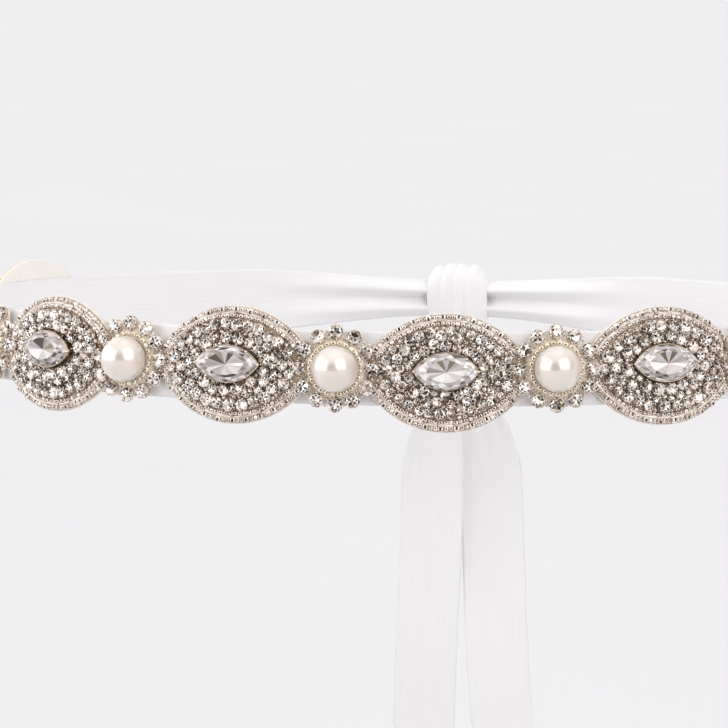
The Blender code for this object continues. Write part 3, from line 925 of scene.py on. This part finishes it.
def make_setting(number, place_number):
    """The thin silver rim round a crystal, with a claw at each tip and two on each long side."""
    point, axes = middle_frame(place_number)
    setting = Pile()
    angles = oval_angles(SETTING_POINTS, CRYSTAL_SQUASH)
    points = []
    for grow, height in SETTING_ROWS:
        reach = crystal_reach(place_number, angles, grow)
        points += [(r * math.cos(a), r * math.sin(a), height) for r, a in zip(reach, angles)]
    faces = grid_faces(len(SETTING_ROWS), SETTING_POINTS, closed=True)
    last = (len(SETTING_ROWS) - 1) * SETTING_POINTS
    for side in range(SETTING_POINTS):
        after = (side + 1) % SETTING_POINTS
        faces.append((last + side, last + after, after, side))
    setting.add(Shape(points, faces), point[None], axes[None], 1.0, 0.3)
    for turn in PRONG_TURNS:
        angle = math.atan2(CRYSTAL_SQUASH * math.sin(2 * math.pi * turn), math.cos(2 * math.pi * turn))
        reach = float(crystal_reach(place_number, np.array([angle]))[0])
        local = np.array([reach * math.cos(angle), reach * math.sin(angle), 4.95 * MM])
        claw_axes = np.stack([math.cos(angle) * axes[0] + math.sin(angle) * axes[1],
                              math.cos(angle) * axes[1] - math.sin(angle) * axes[0], axes[2]])
        setting.add(GRAIN, (point + local @ axes)[None], claw_axes[None],
                    np.array([[0.50, 0.28, 0.34]]) * MM, 0.9)
    seat(setting.build(f"crystal_{number}_setting", SILVER), "silver")


# The flowers and pearls

FLOWER_BASE = (
    # radius at a stone, radius between stones, height, tone
    (FLOWER_REACH - 0.8 * MM, FLOWER_NOTCH - 2.2 * MM, 0.30 * MM, 0.85),
    (FLOWER_REACH - 0.6 * MM, FLOWER_NOTCH - 2.0 * MM, 0.80 * MM, 0.85),
    (FLOWER_REACH - 0.9 * MM, FLOWER_NOTCH - 2.2 * MM, 1.35 * MM, 0.85),
    (7.8 * MM, 7.8 * MM, 1.90 * MM, 0.87),
    (7.1 * MM, 7.1 * MM, 2.40 * MM, 0.87),
    (6.0 * MM, 6.0 * MM, 2.65 * MM, 0.85),
    (5.4 * MM, 5.4 * MM, 2.40 * MM, 0.80),
)
FLOWER_POINTS = 144
FLOWER_STONE_RADIUS = 2.02 * MM
FLOWER_STONE_RING = 9.55 * MM
FLOWER_BEADS = 25
FLOWER_BEAD_RING = 6.66 * MM
EDGE_GRAINS = (
    # radius of the ring of claws between the stones, height, size
    (10.00 * MM, 2.2 * MM, 0.42 * MM),
    (8.00 * MM, 2.1 * MM, 0.40 * MM),
)


def make_flower(number, place_number):
    s, z = motif_centre(place_number)
    angles = 2 * np.pi * np.arange(FLOWER_POINTS) / FLOWER_POINTS
    wave = (1 + np.cos(FLOWER_STONES * angles)) / 2
    points = []
    for at_stone, between, height, _ in FLOWER_BASE:
        radius = between + (at_stone - between) * wave
        points.append(place(s + radius * np.cos(angles), z + radius * np.sin(angles), height))
    faces = grid_faces(len(FLOWER_BASE), FLOWER_POINTS, closed=True)
    shades = [row[3] for row in FLOWER_BASE[1:] for _ in range(FLOWER_POINTS)]
    # The underside is pale felt; the top strip under the pearl is dark, painted shade
    for first, flip in ((0, True), ((len(FLOWER_BASE) - 1) * FLOWER_POINTS, False)):
        for face in strip_faces(first, FLOWER_POINTS):
            faces.append(face[::-1] if flip else face)
            shades.append(1.0 if flip else 0.3)
    base = build_mesh(f"flower_{number}_base", np.concatenate(points),
                      [corner for face in faces for corner in face],
                      [len(face) for face in faces], NET, True, shades)
    seat(base, "beadwork", f"flower_{number}")
    dress_flower(number, s, z)


def dress_flower(number, s, z):
    """A ring of stones in claws, and a ring of small beads wound close round the pearl."""
    beads, ring_beads, stones, cups = Pile(), Pile(), Pile(), Pile()
    turns = 2 * np.pi * (np.arange(FLOWER_BEADS) + rng.uniform()) / FLOWER_BEADS
    along, up = FLOWER_BEAD_RING * np.cos(turns), FLOWER_BEAD_RING * np.sin(turns)
    where = place(s + along, z + up, 2.95 * MM + rng.normal(0, 0.05 * MM, FLOWER_BEADS))
    axes = axes_at(s + along, turns + math.pi / 2, rng.normal(0, 0.1, FLOWER_BEADS))
    radius = 0.66 * MM * rng.uniform(0.95, 1.05, FLOWER_BEADS)
    length = np.full(FLOWER_BEADS, 0.88 * math.pi * FLOWER_BEAD_RING / FLOWER_BEADS)
    ring_beads.add(SEED_BEAD, where, axes, np.stack([length, radius, radius], axis=1),
                   bead_tones(FLOWER_BEADS, 0.4, 1.0, 0.95))
    turns = 2 * np.pi * np.arange(FLOWER_STONES) / FLOWER_STONES
    wander = rng.normal(0, 0.08 * MM, (2, FLOWER_STONES))
    along = FLOWER_STONE_RING * np.cos(turns) + wander[0]
    up = FLOWER_STONE_RING * np.sin(turns) + wander[1]
    set_stones(s, along, z + up, 2.75 * MM, np.full(FLOWER_STONES, FLOWER_STONE_RADIUS), stones, cups, 6,
               swings=(0.14, 0.40), leans=(0.00, 0.20))
    turns = turns + np.pi / FLOWER_STONES
    for ring, height, size in EDGE_GRAINS:
        along, up = ring * np.cos(turns), ring * np.sin(turns)
        beads.add(GRAIN, place(s + along, z + up, height), axes_at(s + along), size,
                  rng.uniform(0.2, 0.8, FLOWER_STONES))
    seat(ring_beads.build(f"flower_{number}_ring", CREAM_BEADS), "beadwork")
    seat(beads.build(f"flower_{number}_beads", BEADS), "beadwork")
    seat(stones.build(f"flower_{number}_stones", STONE_GLASS, smooth=False), "rhinestone")
    seat(cups.build(f"flower_{number}_cups", SILVER), "silver")


def make_pearl(number, place_number):
    foot = math.asin((PEARL_FOOT - PEARL_CENTRE) / PEARL_RADIUS)
    lifts = [foot + (math.pi / 2 - foot) * step / 30 for step in range(30)]
    profile = [(PEARL_RADIUS * math.cos(lift), PEARL_CENTRE + PEARL_RADIUS * math.sin(lift))
               for lift in [*lifts, math.pi / 2 - 0.02]]
    pile = Pile()
    point, axes = middle_frame(place_number)
    pile.add(turned(profile, 64), point[None], axes[None])
    seat(pile.build(f"pearl_{number}_ball", PEARL), "pearl", f"pearl_{number}")


# The ribbon

CLOTH = 0.45 * MM
GATHER_LENGTH = 62 * MM
GATHER_NARROWING = 0.42
GATHER_FOLD = 1.5 * MM
GATHER_LIFT = 2.6 * MM
KNOT_HALF_WIDTH = 9.5 * MM
KNOT_HALF_HEIGHT = 11.5 * MM
KNOT_HALF_DEPTH = 6.0 * MM
KNOT_STAND = 3.6 * MM
KNOT_CUT = 58 * MM


def cloth_wall(name, outer, inner, cloth, columns, rows):
    """A thin closed wall of satin from two grids of points, with the place on the ribbon of each."""
    faces = []
    offset = columns * rows
    for corner_a, corner_b, corner_c, corner_d in grid_faces(columns, rows):
        faces.append((corner_a, corner_d, corner_c, corner_b))
        faces.append((offset + corner_a, offset + corner_b, offset + corner_c, offset + corner_d))
    for column in range(columns - 1):
        for row, flip in ((0, False), (rows - 1, True)):
            corner = column * rows + row
            face = (corner, offset + corner, offset + corner + rows, corner + rows)
            faces.append(face[::-1] if flip else face)
    for column, flip in ((0, True), (columns - 1, False)):
        for row in range(rows - 1):
            corner = column * rows + row
            face = (corner, offset + corner, offset + corner + 1, corner + 1)
            faces.append(face[::-1] if flip else face)
    return build_mesh(name, np.concatenate([outer, inner]), [c for face in faces for c in face],
                      [len(face) for face in faces], SATIN, True, None, np.concatenate([cloth, cloth]))


def make_ribbon():
    """The ribbon round the waist, flat behind the motifs and gathered into folds at the knot."""
    end = HALF_RING - KNOT_HALF_WIDTH + 4.0 * MM
    columns, rows = 561, 25
    s = np.linspace(-end, end, columns)[:, None]
    v = np.linspace(-1, 1, rows)[None]
    share = np.clip(1 - (end - np.abs(s)) / GATHER_LENGTH, 0, 1)
    gather = share ** 2 * (3 - 2 * share)
    half = RIBBON_WIDTH / 2 * (1 - GATHER_NARROWING * gather)
    fold = np.interp(v, (-1.0, -0.5, 0.0, 0.5, 1.0), (0.6, -1.0, 1.0, -1.0, 0.6))
    soft = 0.75 * np.cos(2 * np.pi * (v + 0.03 * np.sin(s * 90))) + 0.25 * fold
    ripple = 0.12 * MM * np.sin(s * 61 + 2.1 * v) * np.cos(s * 23 - 1.3 * v)
    middle = -0.5 * MM + gather * (GATHER_LIFT + GATHER_FOLD * soft) + ripple * (1 - gather)
    edge = 1 + 0.35 * np.clip((np.abs(v) - 0.93) / 0.07, 0, 1)
    across = np.broadcast_to(s, (columns, rows)).ravel()
    high = (half * v).ravel()
    outer = place(across, high, (middle + CLOTH / 2 * edge).ravel())
    inner = place(across, high, (middle - CLOTH / 2 * edge).ravel())
    cloth = np.stack([across, np.broadcast_to(RIBBON_WIDTH / 2 * v, (columns, rows)).ravel(),
                      np.zeros(columns * rows)], axis=1)
    ribbon = cloth_wall("sash_ribbon", outer, inner, cloth, columns, rows)
    seat(ribbon, "satin", "ribbon_front", "ribbon_left", "ribbon_right")
    return ribbon


def make_knot():
    """The knot: the ribbon wound once round where the two sides meet, pleated and pinched at its ends."""
    columns, rows = 61, 96
    x = np.linspace(-1, 1, columns)[:, None]
    turn = 2 * np.pi * np.arange(rows)[None] / rows
    sine, cosine = np.sin(turn + 0.06 * x), np.cos(turn + 0.06 * x)
    swell = 0.90 * (1 - 0.46 * np.abs(x) ** 5)
    depth_swell = 1 - 0.45 * np.abs(x) ** 3
    slant = x + 0.10 * np.sin(turn)
    pleat = (0.55 * np.abs(np.cos(2.4 * np.pi * slant + 0.4)) ** 0.6
             + 0.45 * np.abs(np.cos(1.3 * np.pi * slant - 0.7)) ** 0.8)
    puff = 0.90 + 0.13 * pleat
    point, along, up, out = (v[0] for v in frames_at(HALF_RING))
    across = KNOT_HALF_WIDTH * 0.98 * np.broadcast_to(x, sine.shape)
    walls = []
    for inward in (0.0, CLOTH):
        high = (KNOT_HALF_HEIGHT * swell * puff - inward) * np.sign(sine) * np.abs(sine) ** 0.7
        deep = (KNOT_HALF_DEPTH * depth_swell * puff - inward) * np.sign(cosine) * np.abs(cosine) ** 0.75
        walls.append((point + along * across[..., None] + up * high[..., None]
                      + out * (KNOT_STAND + deep)[..., None]).reshape(-1, 3))
    total = columns * rows
    faces = [face[::-1] for face in grid_faces(columns, rows, closed=True)]
    faces += grid_faces(columns, rows, first=total, closed=True)
    last = total - rows
    for side in range(rows):
        after = (side + 1) % rows
        faces.append((side, after, total + after, total + side))
        faces.append((last + after, last + side, total + last + side, total + last + after))
    cloth = np.stack([np.broadcast_to(turn / (2 * np.pi) * KNOT_CUT, sine.shape).ravel(),
                      across.ravel(), np.zeros(total)], axis=1)
    knot = build_mesh("sash_knot", np.concatenate(walls), [c for face in faces for c in face],
                      [len(face) for face in faces], SATIN, True, None, np.concatenate([cloth, cloth]))
    seat(knot, "satin", "knot")
    return knot


TAILS = (
    # name, side, length, lean, stand, swing, turn
    ("tail_left", -1, 198 * MM, 9 * MM, 1.6 * MM, 2.6 * MM, math.radians(12)),
    ("tail_right", 1, 214 * MM, 13 * MM, 5.0 * MM, 3.4 * MM, math.radians(9)),
)
TAIL_ROOT_SHARE = 0.36
TAIL_OPENING = 46 * MM
TAIL_TUCK = 5 * MM
TAIL_ROOT_OFFSET = 3.4 * MM
TAIL_OPEN_OFFSET = 8.4 * MM
TAIL_OUTWARD = 9 * MM
TAIL_SLANT = 8 * MM
TAIL_CUP = 1.2 * MM


def make_tail(name, side, length, lean, stand_off, swing, turn):
    """A hanging end, pleated under the knot and opening on its way down to a slanted cut."""
    point, _, up, out = (v[0] for v in frames_at(HALF_RING))
    start = point - up * (KNOT_HALF_HEIGHT + SEAM) + out * stand_off
    columns, rows = 145, 25
    share = np.linspace(-TAIL_TUCK / length, 1, columns)[:, None]
    v = np.linspace(-1, 1, rows)[None]
    opening = np.clip(length * share / TAIL_OPENING, 0, 1)
    opening = opening ** 2 * (3 - 2 * opening)
    half = RIBBON_WIDTH / 2 * (TAIL_ROOT_SHARE + (1 - TAIL_ROOT_SHARE) * opening)
    shift = TAIL_ROOT_OFFSET + (TAIL_OPEN_OFFSET - TAIL_ROOT_OFFSET) * opening
    across = side * (shift + lean * share ** 2)
    depth = TAIL_OUTWARD * share + swing * np.sin(2 * np.pi * share) ** 2
    facing = turn * np.sin(np.pi * share)
    pleat = 0.55 * MM * (1 - opening) * np.cos(3 * np.pi * v + side)
    curl = 0.35 * MM * np.sin(9 * share + 1.7 * v) * opening
    face = TAIL_CUP * (1 - v ** 2) + pleat + curl
    slant = TAIL_SLANT * share ** 8 * v * side
    x = across + half * v * np.cos(facing) - face * np.sin(facing)
    y = depth + half * v * np.sin(facing) + face * np.cos(facing)
    z = -length * share - slant
    middle = start + np.stack([x, y, z], axis=2)
    along_way = np.gradient(middle, axis=0)
    wide_way = np.gradient(middle, axis=1)
    normal = np.cross(wide_way, along_way)
    normal /= np.linalg.norm(normal, axis=2, keepdims=True)
    normal *= -1
    cloth = np.stack([np.broadcast_to(length * share, half.shape[:1] + (rows,)).ravel(),
                      np.broadcast_to(RIBBON_WIDTH / 2 * v, (columns, rows)).ravel(),
                      np.zeros(columns * rows)], axis=1)
    outer = (middle + normal * CLOTH / 2).reshape(-1, 3)
    inner = (middle - normal * CLOTH / 2).reshape(-1, 3)
    tail = cloth_wall(f"sash_{name}", outer, inner, cloth, columns, rows)
    seat(tail, "satin", name)
    return tail


# The room: a pale floor, two tall soft windows and a bright surround with the dark of the room ahead

def camera_directions():
    azimuth, elevation = CAMERA_AZIMUTH, CAMERA_ELEVATION
    back = Vector((math.sin(azimuth) * math.cos(elevation),
                   -math.cos(azimuth) * math.cos(elevation), math.sin(elevation)))
    right = Vector((math.cos(azimuth), math.sin(azimuth), 0))
    return right, back.cross(right), back


def make_camera():
    right, up, back = camera_directions()
    data = bpy.data.cameras.new("camera")
    data.sensor_width = 36
    data.lens = CAMERA_LENS
    data.clip_start, data.clip_end = 0.05, 60
    camera = bpy.data.objects.new("camera", data)
    bpy.context.scene.collection.objects.link(camera)
    aim = Vector((0, -RING_HALF_DEPTH, 0)) + right * AIM_ASIDE + up * AIM_ABOVE
    camera.location = aim + back * CAMERA_DISTANCE
    camera.rotation_mode = "QUATERNION"
    camera.rotation_quaternion = back.to_track_quat("Z", "Y")
    bpy.context.scene.camera = camera


WINDOWS = (
    # direction in the camera's terms (right, up, towards it), half angles across and up
    ((-0.835, 0.255, 0.488), math.radians(17), math.radians(26)),
    ((0.500, 0.410, 0.763), math.radians(25), math.radians(26)),
)
WINDOW_LIGHT = 2.75
WINDOW_EDGE = 0.06
BEHIND_LIGHT = (0.88, 0.88, 0.89)
AHEAD_LIGHT = (0.43, 0.37, 0.31)
LEFT_LIGHT = (2.8, 2.85, 2.9)
ABOVE_LIGHT = (0.98, 0.97, 0.96)
DARK_LIGHT = (0.035, 0.028, 0.022)
SEEN_LIGHT = (0.880, 0.874, 0.885)
PANEL_HEIGHT = 2.5
PANEL_LIGHT = 0.3
PANEL_SIDE = 1.6
FLOOR_DROP = 0.03
FLOOR_HALF = 30.0


def make_panel():
    """A faint soft panel overhead."""
    data = bpy.data.lights.new("panel", "AREA")
    data.shape = "SQUARE"
    data.size = PANEL_SIDE
    data.energy = PANEL_LIGHT * math.pi * PANEL_SIDE ** 2
    panel = bpy.data.objects.new("panel", data)
    panel.location = (0, 0, PANEL_HEIGHT)
    bpy.context.scene.collection.objects.link(panel)


class WorldGraph:
    """Small helpers to write the surround's light as a function of direction."""

    def __init__(self, tree):
        self.tree = tree
        self.direction = tree.nodes.new("ShaderNodeTexCoord").outputs["Generated"]

    def dot(self, towards):
        node = add_node(self.tree, "ShaderNodeVectorMath", operation="DOT_PRODUCT")
        node.inputs[1].default_value = tuple(towards)
        self.tree.links.new(self.direction, node.inputs[0])
        return node.outputs["Value"]

    def math(self, operation, first, second=0.0):
        node = add_node(self.tree, "ShaderNodeMath", operation=operation)
        for socket, value in zip(node.inputs, (first, second)):
            if isinstance(value, float):
                socket.default_value = value
            else:
                self.tree.links.new(value, socket)
        return node.outputs["Value"]

    def ramp(self, value, low, high):
        node = add_node(self.tree, "ShaderNodeMapRange")
        node.inputs["From Min"].default_value = low
        node.inputs["From Max"].default_value = high
        self.tree.links.new(value, node.inputs["Value"])
        return node.outputs["Result"]

    def blend(self, factor, first, second):
        node = add_node(self.tree, "ShaderNodeMix", data_type="RGBA")
        for name, value in (("A", first), ("B", second)):
            socket = next(s for s in node.inputs if s.name == name and s.type == "RGBA")
            if isinstance(value, tuple):
                socket.default_value = (*value, 1)
            else:
                self.tree.links.new(value, socket)
        self.tree.links.new(factor, node.inputs["Factor"])
        return next(s for s in node.outputs if s.type == "RGBA")

    def window(self, towards, aside, aloft, half_across, half_up):
        """1 inside a window seen from the sash, 0 outside it, with a soft edge."""
        ahead = self.math("MAXIMUM", self.dot(towards), 0.01)
        inside = None
        for direction, half in ((aside, half_across), (aloft, half_up)):
            off = self.math("ABSOLUTE", self.math("DIVIDE", self.dot(direction), ahead))
            edge = self.ramp(off, math.tan(half) + WINDOW_EDGE, math.tan(half) - WINDOW_EDGE)
            inside = edge if inside is None else self.math("MULTIPLY", inside, edge)
        return inside


def make_world():
    """A surround that is bright behind and above, dimmer ahead, and dark round the camera, with
    two tall windows. What the camera itself sees of it is plain."""
    world = bpy.data.worlds.new("surround")
    bpy.context.scene.world = world
    world.use_nodes = True
    graph = WorldGraph(world.node_tree)
    right, up, back = camera_directions()
    light = graph.blend(graph.ramp(graph.dot(back), -0.35, 0.45), BEHIND_LIGHT, AHEAD_LIGHT)
    light = graph.blend(graph.ramp(graph.dot(-right), 0.58, 0.96), light, LEFT_LIGHT)
    light = graph.blend(graph.ramp(graph.dot((0, 0, 1)), 0.45, 0.85), light, ABOVE_LIGHT)
    light = graph.blend(graph.ramp(graph.dot(back), 0.77, 0.86), light, DARK_LIGHT)
    for direction, half_across, half_up in WINDOWS:
        towards = (right * direction[0] + up * direction[1] + back * direction[2]).normalized()
        aside = Vector((0, 0, 1)).cross(towards).normalized()
        inside = graph.window(towards, aside, towards.cross(aside), half_across, half_up)
        light = graph.blend(inside, light, (WINDOW_LIGHT, WINDOW_LIGHT * 0.985, WINDOW_LIGHT * 0.97))
    is_camera = world.node_tree.nodes.new("ShaderNodeLightPath").outputs["Is Camera Ray"]
    light = graph.blend(is_camera, light, SEEN_LIGHT)
    world.node_tree.links.new(light, world.node_tree.nodes["Background"].inputs["Color"])


def make_floor():
    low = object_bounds()[0].z - FLOOR_DROP
    mesh = bpy.data.meshes.new("floor")
    half = FLOOR_HALF
    mesh.from_pydata([(-half, -half, low), (half, -half, low), (half, half, low), (-half, half, low)],
                     [], [(0, 1, 2, 3)])
    material, tree, shader = material_of("floor_paint", roughness=0.9, Specular_IOR_Level=0.2)
    tint = add_ramp(tree, noise(tree, 3.0), ((0.3, (0.688, 0.684, 0.704)), (0.7, (0.698, 0.694, 0.714))))
    tree.links.new(tint, shader.inputs["Base Color"])
    mesh.materials.append(material)
    floor = bpy.data.objects.new("floor", mesh)
    bpy.context.scene.collection.objects.link(floor)


make_ribbon()
make_knot()
for tail in TAILS:
    make_tail(*tail)
for index, place_number in enumerate(MEDALLION_PLACES, start=1):
    make_medallion(index, place_number)
    make_crystal(index, place_number)
for index, place_number in enumerate(FLOWER_PLACES, start=1):
    make_flower(index, place_number)
    make_pearl(index, place_number)
make_camera()
make_panel()
make_world()
make_floor()
bpy.context.scene.view_settings.view_transform = "Standard"
